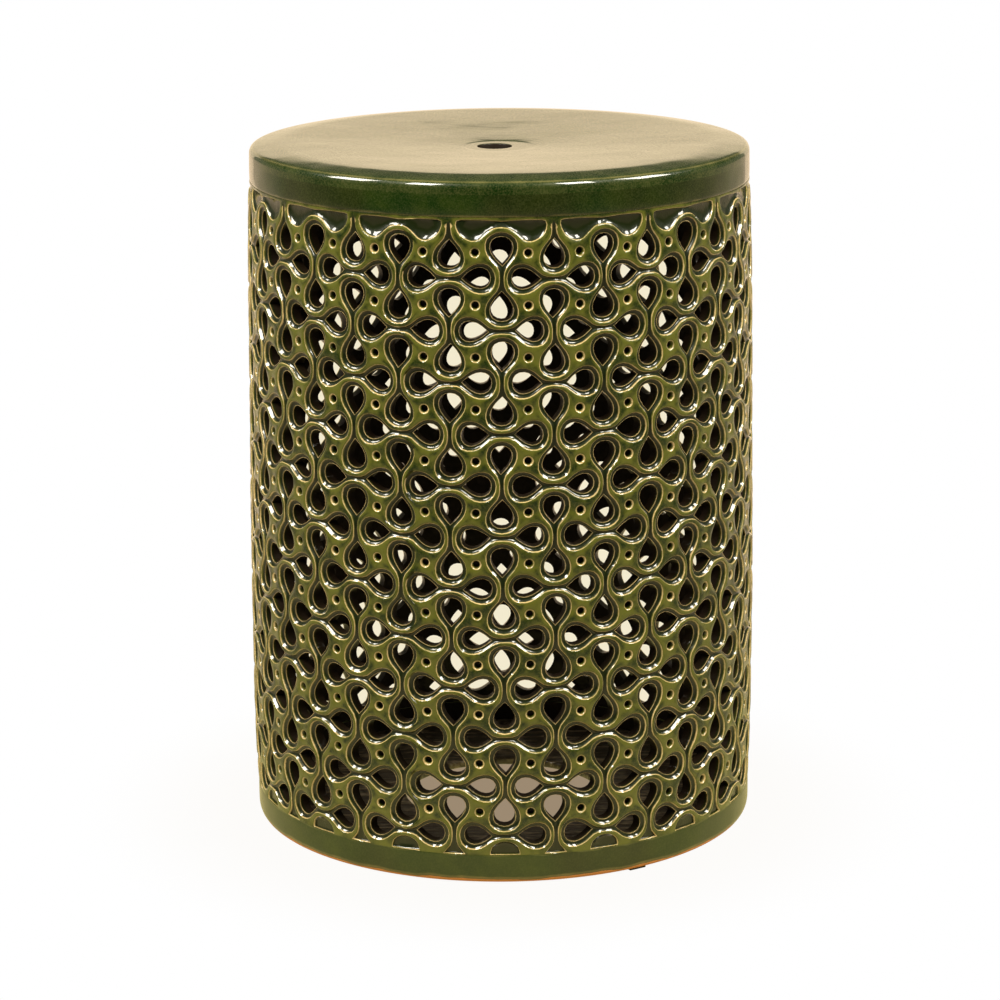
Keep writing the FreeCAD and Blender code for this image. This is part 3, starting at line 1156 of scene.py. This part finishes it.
def pad_look(nodes, place, glaze):
    """Dull black rubber with a faint grain and a dusty edge."""
    dust = nodes.ramp(nodes.noise(place, *RUBBER_DUST), 0.5, 0.8)
    return {
        "Base Color": nodes.blend(dust, glaze.pad_black, RUBBER_GREY),
        "Roughness": nodes.ramp(dust, 0.0, 1.0, 0.7, 0.9),
        "Normal": nodes.bump(nodes.noise(place, *RUBBER_GRAIN), 0.0001),
    }


# Pieces: offsets out and up, in millimetres, from the corner that each list is read from

HOLE_ROLL = ((0.0, -0.8), (0.08, -0.4), (0.3, -0.12), (0.8, -0.01), (2.0, 0.01))
MIDDLE_STEP = ((-0.5, 0.0), (0.2, 0.1), (1.6, 0.22), (4.5, 0.36))
SHOULDER = ((0.0, -0.02), (3.0, -0.16), (7.0, -0.55), (12.0, -1.15))
SEAT_ROLL = ((-5.0, -1.65), (-3.6, -1.9), (-2.5, -2.25), (-1.5, -2.8), (-0.75, -3.6), (-0.1, -5.2),
             (0.0, -6.6))
SEAT_JOINT = ((0.05, 0.6), (0.06, 0.0), (-9.0, 0.0), (-9.4, -0.2))
COLLAR_LOW = ((-9.0, 0.0), (-0.35, 0.0), (-0.02, 0.35), (0.10, 2.0), (0.18, 5.0))
COLLAR_HIGH = ((0.16, -5.0), (0.08, -1.4), (0.06, 0.0), (-9.0, 0.0))
FOOT_LOW = ((-12.0, 1.5), (-11.0, 0.3), (-9.5, 0.0), (-3.2, 0.0), (-2.2, 0.25), (-1.4, 0.9), (-0.75, 1.9),
            (-0.3, 3.2), (-0.05, 5.0), (0.0, 8.0))
FOOT_HIGH = ((-0.02, -3.0), (-0.08, -0.8), (-0.25, -0.02))
BASE_HOLE_LOW = ((0.8, 0.0), (0.15, 0.5), (0.0, 1.5))
BASE_HOLE_HIGH = ((0.05, -1.6), (0.45, -0.6), (1.3, -0.08), (3.5, 0.0))
BASE_EDGE = ((-9.0, -0.35), (-3.0, -0.05), (0.0, 0.0))
# The dish, as shares of its width and of its rise
DISH_CURVE = ((0.12, 0.17), (0.25, 0.30), (0.40, 0.47), (0.55, 0.63), (0.70, 0.78), (0.82, 0.89),
              (0.91, 0.955), (0.97, 0.985))
PLUG_INSET = 9.4
SEAT_UNDERSIDE_RADIUS = 60
COLLAR_INSIDE = 8.5
FOOT_INSIDE = 11.5
FOOT_WIDTH = 12.0
# Glaze lines: half width in metres, strength and colour
SEAT_JOINT_LINE = (0.0016, 0.10, (0.05, 0.06, 0.015))
COLLAR_LINE = (0.0014, 0.75, (0.20, 0.17, 0.05))
CLAY_LINE = (0.0016, 0.75, (0.22, 0.17, 0.05))
CLAY_LINE_RISE = 0.0012
FOOT_LINE = (0.0011, 0.6, (0.15, 0.15, 0.04))
FOOT_THINNED = 0.38
PAD_BEVEL = 0.00035
PAD_COUNT = 3
# What smooth shading keeps sharp, in degrees
TURNED_SMOOTHING = 45
RELIEF_SMOOTHING = 62
PAD_SMOOTHING = 50
WELD_DISTANCE = 0.00001


def heights(box):
    """The lowest and highest level of a box, in millimetres."""
    return box[0][2] / MM, box[1][2] / MM


def within(reach):
    """Picks places nearer to the axis than a reach in millimetres."""
    return lambda place: math.hypot(place.x, place.y) < reach * MM


def settings(context):
    """The seat's sizes, the glaze's colours and the dark wash with painted shade that every hollow piece has
    inside.
    """
    glaze = context.scene.stool_glaze
    return context.scene.stool_seat, glaze, coating("Dark wash and painted shade inside", wash_and_shade_look, glaze)


class StoolLatticeWall(bpy.types.Operator):
    """Models the pierced relief wall in its two halves"""

    bl_idname = "stool.lattice_wall"
    bl_label = "Lattice wall"

    def execute(self, context):
        relief = context.scene.stool_relief
        glazed = coating("Green glaze on relief", relief_look, context.scene.stool_glaze)
        for side, first_column in (("right", 0), ("left", relief.columns // 2)):
            fresh_start()
            spots, faces = half_layout(relief, first_column)
            mesh = bpy.data.meshes.new("lattice_relief_%s" % side)
            mesh.from_pydata(wrap(relief, spots), [], faces)
            for name, column in (("depth_mm", 2), ("edge", 3), ("pool", 4), ("thin", 6)):
                store = mesh.attributes.new(name, "FLOAT", "POINT")
                store.data.foreach_set("value", np.ascontiguousarray(spots[:, column], dtype=np.float32))
            if mesh.validate():
                raise RuntimeError("the relief of the %s half has broken faces" % side)
            piece = bpy.data.objects.new(mesh.name, mesh)
            context.scene.collection.objects.link(piece)
            choose(piece)
            edit_mesh(face_outwards)
            smooth(piece, RELIEF_SMOOTHING)
            dress(piece, [glazed], "lattice_wall_%s" % side)
        return {"FINISHED"}


class StoolSeat(bpy.types.Operator):
    """Turns the dished seat with its finger hole and rolled edge"""

    bl_idname = "stool.seat"
    bl_label = "Seat"

    def execute(self, context):
        seat, glaze, wash = settings(context)
        foot, top = heights(seat_box)
        low = heights(upper_band_box)[1]
        rise = seat.dish_depth / MM
        dish = top - rise
        hole = seat.finger_hole_radius / MM
        aside = -seat.finger_hole_offset / MM
        flat, crest, edge = seat.middle_radius / MM, seat.crest_radius / MM, band_radius / MM
        rings = [(aside, hole, foot)] + rings_at(hole, dish, HOLE_ROLL, aside)
        rings += [(0.45 * aside, hole + 7.5, dish)] + rings_at(flat, dish, MIDDLE_STEP)
        rings += [(0, flat + share * (crest - flat), dish + height * rise) for share, height in DISH_CURVE]
        rings += rings_at(crest, top, SHOULDER) + rings_at(edge, top, SEAT_ROLL)
        rings += rings_at(edge, low, SEAT_JOINT)
        rings += [(0, edge - PLUG_INSET, foot), (0.5 * aside, SEAT_UNDERSIDE_RADIUS, foot)]

        def inner(place):
            in_hole = math.hypot(place.x - aside * MM, place.y) < (hole + 1) * MM
            # The finger hole's wall below the dish takes the dark inside colour too: painted shade in the hole
            return place.z < low * MM - 0.0001 or (in_hole and place.z < (dish - 0.2) * MM)

        glazed = coating("Green glaze on seat", seat_look, glaze)
        turn_out("seat_dish", "seat_slab", seat.ring_segments, rings, [glazed, wash], inner)
        return {"FINISHED"}


class StoolUpperBand(bpy.types.Operator):
    """Turns the plain glazed collar between the relief and the seat"""

    bl_idname = "stool.upper_band"
    bl_label = "Upper band"

    def execute(self, context):
        seat, glaze, wash = settings(context)
        low = relief_top(context.scene.stool_relief) / MM
        high = heights(upper_band_box)[1]
        edge = band_radius / MM
        rings = rings_at(edge, low, COLLAR_LOW) + rings_at(edge, high, COLLAR_HIGH)
        lines = ((high * MM, *SEAT_JOINT_LINE), (low * MM, *COLLAR_LINE))
        glazed = coating("Green glaze on collar", band_look, glaze, lines, 0.0)
        inner = within(edge - COLLAR_INSIDE)
        turn_out("band_collar", "upper_band", seat.ring_segments, rings, [glazed, wash], inner)
        return {"FINISHED"}


class StoolFootBand(bpy.types.Operator):
    """Turns the foot ring with its bare clay edge"""

    bl_idname = "stool.foot_band"
    bl_label = "Foot band"

    def execute(self, context):
        seat, glaze, wash = settings(context)
        low, high = heights(foot_band_box)
        edge = foot_radius / MM
        rings = [(0, edge - FOOT_WIDTH, high)]
        rings += rings_at(edge, low, FOOT_LOW) + rings_at(edge, high, FOOT_HIGH)
        clay = low * MM + seat.clay_edge
        lines = ((clay + CLAY_LINE_RISE, *CLAY_LINE), (high * MM, *FOOT_LINE))
        glazed = coating("Green glaze on foot", band_look, glaze, lines, FOOT_THINNED, clay)
        inner = within(edge - FOOT_INSIDE)
        turn_out("foot_ring", "foot_band", seat.ring_segments, rings, [glazed, wash], inner)
        return {"FINISHED"}


class StoolBasePlate(bpy.types.Operator):
    """Rolls the base plate with the round hole in its middle"""

    bl_idname = "stool.base_plate"
    bl_label = "Base plate"

    def execute(self, context):
        seat = context.scene.stool_seat
        low, high = heights(base_box)
        edge, hole = base_box[1][0] / MM, seat.base_hole_radius / MM
        rings = rings_at(hole, low, BASE_HOLE_LOW) + rings_at(hole, high, BASE_HOLE_HIGH)
        rings.append((0, 0.45 * hole + 0.55 * edge, high - 0.5))
        rings += rings_at(edge, high, BASE_EDGE) + [(0, edge, low)]
        streaked = coating("Streaked wash on base", base_look)
        turn_out("base_disc", "base_plate", seat.ring_segments // 2, rings, [streaked])
        return {"FINISHED"}


class StoolPads(bpy.types.Operator):
    """Cuts the three thin pads under the foot ring"""

    bl_idname = "stool.pads"
    bl_label = "Foot pads"

    def execute(self, context):
        seat = context.scene.stool_seat
        rubber = coating("Black pad rubber", pad_look, context.scene.stool_glaze, base=RUBBER)
        high = foot_band_box[0][2]
        turn = seat.first_pad_angle
        fresh_start()
        bpy.ops.mesh.primitive_cube_add(
            size=1, location=(seat.pad_reach * math.sin(turn), -seat.pad_reach * math.cos(turn), high / 2),
            rotation=(0, 0, turn), scale=(seat.pad_length, seat.pad_width, high))
        pads = [new_primitive("pad_1")]
        settle(pads[0])
        edit_mesh(lambda: bpy.ops.mesh.bevel(offset=PAD_BEVEL, segments=2, affect="EDGES"))
        for index in range(1, PAD_COUNT):
            pad = pads[0].copy()
            pad.data = pads[0].data.copy()
            pad.name = pad.data.name = "pad_%d" % (index + 1)
            context.scene.collection.objects.link(pad)
            pad.rotation_euler = (0, 0, math.radians(360 / PAD_COUNT * index))
            settle(pad)
            pads.append(pad)
        for index, pad in enumerate(pads):
            smooth(pad, PAD_SMOOTHING)
            dress(pad, [rubber], "foot_pad_%d" % (index + 1))
        return {"FINISHED"}


# Stage: colours as linear light, and the angle from the back at which the lit paper ends

WHITE = (1.0, 1.0, 1.0)
FOOT_SHADE = (0.80, 0.66, 0.45)
INSIDE_SHADE = (0.33, 0.25, 0.165)
FLOOR_MATT = (0.16, 0.13, 0.09)
PAPER_FAR = (1.0, 0.77, 0.52)
PAPER_NEAR = (0.95, 0.84, 0.30)
CARD_BRIGHT = (1.10, 0.88, 0.58)
ROOM_DARK = (0.045, 0.043, 0.032)
ROOM_LIGHT = (0.20, 0.19, 0.15)
LAMP_TINT = (1.0, 0.95, 0.84)
PAPER_EDGE = math.radians(28.0)
FLOOR_SIZE = 14
KEY_WATTS = 20.0
LAMP_REACH = 2.0
LAMP_AIM = Vector((0, 0, 0.25))
# Name, azimuth and elevation in degrees, size in metres, share of the key power
SOFTBOXES = (
    ("softbox_front_left", -38, 42, (0.40, 0.66), 1.1),
    ("softbox_front_right", 38, 42, (0.40, 0.66), 1.1),
    ("softbox_side_left", -76, 38, (0.60, 0.72), 1.5),
    ("softbox_side_right", 76, 38, (0.60, 0.72), 1.5),
)
# The camera's turn in degrees: about the upright, down from the upright, and about its own line of sight
CAMERA_TURN = ((0.027, "Z"), (75.53, "X"), (-0.394, "Z"))
CAMERA_SENSOR = 36.0


def behind_stool(nodes, x, y):
    """The angle of a place or a direction from straight behind the stool, to either side."""
    return nodes.math("ABSOLUTE", nodes.math("ARCTAN2", x, y))


def for_camera(nodes, hidden, shown):
    """One shader for the camera's own rays, and a hidden one for all others."""
    seen = nodes.add("ShaderNodeLightPath").outputs["Is Camera Ray"]
    return nodes.result("ShaderNodeMixShader", seen, hidden, shown)


def studio_floor(stage):
    """A floor that looks white where it is lit, warm behind the stool and dim inside it.

    In reflections it is dark in front, warm beside the foot and bright behind, as a lit sheet of paper.
    """
    material = bpy.data.materials.new("Studio floor")
    material.use_nodes = True
    nodes = Nodes(material.node_tree)
    nodes.tree.nodes.remove(nodes.tree.nodes["Principled BSDF"])
    x, y, _ = nodes.axes(nodes.place())
    reach = nodes.from_axis(x, y)
    beyond = nodes.minus(nodes.math("ABSOLUTE", x), nodes.math("MULTIPLY_ADD", y, 0.065, 0.130))
    along = nodes.times(nodes.ramp(y, 0.0, 0.16), nodes.ramp(y, 2.8, 3.2, 1.0, 0.0))
    warm = nodes.times(nodes.ramp(beyond, 0.0, 0.035, 1.0, 0.0), along)
    glow = nodes.blend(warm, WHITE, stage.floor_glow)
    glow = nodes.blend(nodes.times(nodes.ramp(reach, 0.16, 0.30, 1.0, 0.0), 0.10), glow, FOOT_SHADE)
    glow = nodes.blend(nodes.ramp(reach, 0.140, 0.163, 1.0, 0.0), glow, INSIDE_SHADE)
    behind = behind_stool(nodes, x, y)
    lit = nodes.ramp(behind, PAPER_EDGE, math.radians(29.5), 1.0, 0.0)
    lit = nodes.times(lit, nodes.ramp(reach, 0.2, 0.45))
    beside = nodes.ramp(behind, math.radians(29.0), math.radians(115.0), 0.55, 0.0)
    near = nodes.ramp(reach, 0.17, 0.62, 1.0, 0.0)
    lit = nodes.math("MAXIMUM", lit, nodes.math("MAXIMUM", beside, nodes.times(near, 0.42)))
    tone = nodes.blend(near, PAPER_FAR, PAPER_NEAR)
    paper = nodes.result("ShaderNodeEmission", tone, nodes.times(lit, stage.card))
    hidden = nodes.result("ShaderNodeAddShader", paper, nodes.result("ShaderNodeBsdfDiffuse", FLOOR_MATT))
    shown = nodes.result("ShaderNodeEmission", glow)
    nodes.feed(for_camera(nodes, hidden, shown), nodes.tree.nodes["Material Output"].inputs["Surface"])
    return material


def studio_world(stage):
    """A white background, an even soft light, and a warm bright card behind the stool."""
    world = bpy.data.worlds.new("Studio")
    bpy.context.scene.world = world
    world.use_nodes = True
    nodes = Nodes(world.node_tree)
    nodes.tree.nodes.clear()
    x, y, z = nodes.axes(nodes.add("ShaderNodeTexCoord").outputs["Generated"])
    card = nodes.ramp(behind_stool(nodes, x, y), PAPER_EDGE, math.radians(29.2), 1.0, 0.0)
    card = nodes.times(card, nodes.ramp(z, 0.22, 0.30, 1.0, 0.0))
    level = nodes.times(nodes.ramp(y, -0.85, 0.3), nodes.ramp(z, 0.14, 0.34, 0.8, 0.04))
    even = nodes.math("MAXIMUM", level, nodes.times(nodes.ramp(z, 0.25, 0.9), 0.75))
    soft = nodes.blend(even, ROOM_DARK, ROOM_LIGHT)
    room = nodes.add("ShaderNodeVectorMath", operation="SCALE")
    nodes.feed(soft, room.inputs[0])
    nodes.feed(stage.ambient, room.inputs["Scale"])
    lit = nodes.blend(card, room.outputs[0], tuple(part * stage.card for part in CARD_BRIGHT))
    hidden = nodes.result("ShaderNodeBackground", lit)
    shown = nodes.result("ShaderNodeBackground", WHITE)
    nodes.feed(for_camera(nodes, hidden, shown), nodes.add("ShaderNodeOutputWorld").inputs["Surface"])


def softbox(name, azimuth, elevation, size, power):
    """A rectangular light that looks at the middle of the stool."""
    fresh_start()
    a, e = math.radians(azimuth), math.radians(elevation)
    way = Vector((math.sin(a) * math.cos(e), -math.cos(a) * math.cos(e), math.sin(e)))
    place = LAMP_AIM + LAMP_REACH * way
    bpy.ops.object.light_add(type="AREA", location=place)
    lamp = bpy.context.active_object
    lamp.name = name
    lamp.data.shape = "RECTANGLE"
    lamp.data.size, lamp.data.size_y = size
    lamp.data.energy = power
    lamp.data.color = LAMP_TINT
    lamp.rotation_euler = (LAMP_AIM - place).to_track_quat("-Z", "Y").to_euler()


class StoolStage(bpy.types.Operator):
    """Sets the floor, the lights and the camera"""

    bl_idname = "stool.stage"
    bl_label = "Stage"

    def execute(self, context):
        stage = context.scene.stool_stage
        fresh_start()
        bpy.ops.mesh.primitive_plane_add(size=FLOOR_SIZE, location=(0, 0, 0))
        floor = new_primitive("studio_floor")
        floor.data.materials.append(studio_floor(stage))
        studio_world(stage)
        for name, azimuth, elevation, size, share in SOFTBOXES:
            softbox(name, azimuth, elevation, size, share * KEY_WATTS * stage.key_power)
        camera = bpy.data.objects.new("camera", bpy.data.cameras.new("camera"))
        context.scene.collection.objects.link(camera)
        camera.data.sensor_width = CAMERA_SENSOR
        camera.data.lens = stage.lens
        aim = Matrix.Translation((0, -stage.camera_distance, stage.camera_height))
        for degrees, axis in CAMERA_TURN:
            aim = aim @ Matrix.Rotation(math.radians(degrees), 4, axis)
        camera.matrix_world = aim
        context.scene.camera = camera
        context.scene.view_settings.view_transform = "Standard"
        return {"FINISHED"}


class StoolPanel(bpy.types.Panel):
    """Lists the stool's pieces"""

    bl_label = "Pierced garden stool"
    bl_idname = "STOOL_PT_pieces"
    bl_space_type = "VIEW_3D"
    bl_region_type = "UI"
    bl_category = "Stool"

    def draw(self, context):
        layout = self.layout
        for operator in OPERATORS:
            layout.operator(operator.bl_idname)
        for name, _ in SETTINGS:
            box = layout.box()
            box.label(text=name.replace("_", " ").capitalize())
            group = getattr(context.scene, name)
            for key in group.__annotations__:
                box.prop(group, key)


SETTINGS = (
    ("stool_relief", StoolReliefSettings),
    ("stool_seat", StoolSeatSettings),
    ("stool_glaze", StoolGlazeSettings),
    ("stool_stage", StoolStageSettings),
)
OPERATORS = (
    StoolLatticeWall, StoolSeat, StoolUpperBand, StoolFootBand, StoolBasePlate, StoolPads, StoolStage)


def register():
    """Registers the settings, the operators and the panel."""
    for _, group in SETTINGS:
        bpy.utils.register_class(group)
    for operator in OPERATORS:
        bpy.utils.register_class(operator)
    bpy.utils.register_class(StoolPanel)
    for name, group in SETTINGS:
        setattr(bpy.types.Scene, name, bpy.props.PointerProperty(type=group))


def unregister():
    """Takes everything back out."""
    for name, _ in SETTINGS:
        delattr(bpy.types.Scene, name)
    bpy.utils.unregister_class(StoolPanel)
    for operator in reversed(OPERATORS):
        bpy.utils.unregister_class(operator)
    for _, group in reversed(SETTINGS):
        bpy.utils.unregister_class(group)


def main():
    """Makes the stool and its stage."""
    register()
    bpy.ops.stool.lattice_wall()
    bpy.ops.stool.seat()
    bpy.ops.stool.upper_band()
    bpy.ops.stool.foot_band()
    bpy.ops.stool.base_plate()
    bpy.ops.stool.pads()
    bpy.ops.stool.stage()


if __name__ == "__main__":
    main()
